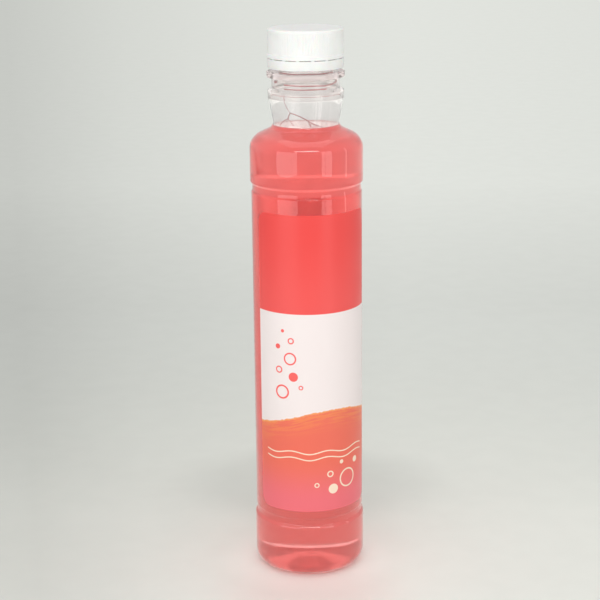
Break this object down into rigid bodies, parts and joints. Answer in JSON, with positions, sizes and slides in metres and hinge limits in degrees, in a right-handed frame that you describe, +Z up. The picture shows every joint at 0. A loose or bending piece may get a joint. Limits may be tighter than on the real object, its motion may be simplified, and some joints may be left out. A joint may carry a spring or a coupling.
{
  "type": "mouthwash bottle",
  "caption": "Tall round clear bottle of pink mouthwash with a waisted neck, a ribbed white screw cap with liner, a tamper ring, and a curved label on its front and its back.",
  "frame": {"origin": "on the bottle's axis, in the plane of the ring that it stands on", "axes": "+Z up along the bottle's axis, -Y out of the middle of the front label"},
  "size_m": [0.0514, 0.0514, 0.254],
  "materials": {
    "clear_bottle_plastic": "clear, glossy blown plastic",
    "pink_liquid": "clear coral pink liquid",
    "white_cap_plastic": "white moulded plastic, satin",
    "liner_foam": "soft white foam, matte",
    "label_film": "printed plastic film, satin"
  },
  "bodies": {
    "bottle": {"bottle": "clear_bottle_plastic", "mouthwash": "pink_liquid", "front_label": "label_film", "back_label": "label_film"},
    "liner": {"cap_liner": "liner_foam"},
    "cap": {"cap": "white_cap_plastic"},
    "tamper_ring": {"tamper_ring": "white_cap_plastic"}
  },
  "joints": [
    {"name": "cap_lift", "type": "slide", "parent": "bottle", "child": "liner", "axis": [0, 0, 1], "range_m": [0, 0.0166]},
    {"name": "cap_turn", "type": "hinge", "parent": "liner", "child": "cap", "pos_m": [0, 0, 0.2411], "axis": [0, 0, 1], "range_deg": [0, 1856]},
    {"name": "tamper_ring_turn", "type": "hinge", "parent": "bottle", "child": "tamper_ring", "pos_m": [0, 0, 0.2365], "axis": [0, 0, 1], "continuous": true}
  ],
  "couplings": [
    {"joint": "cap_lift", "follows": "cap_turn", "m_per_rad": 0.0005093}
  ]
}
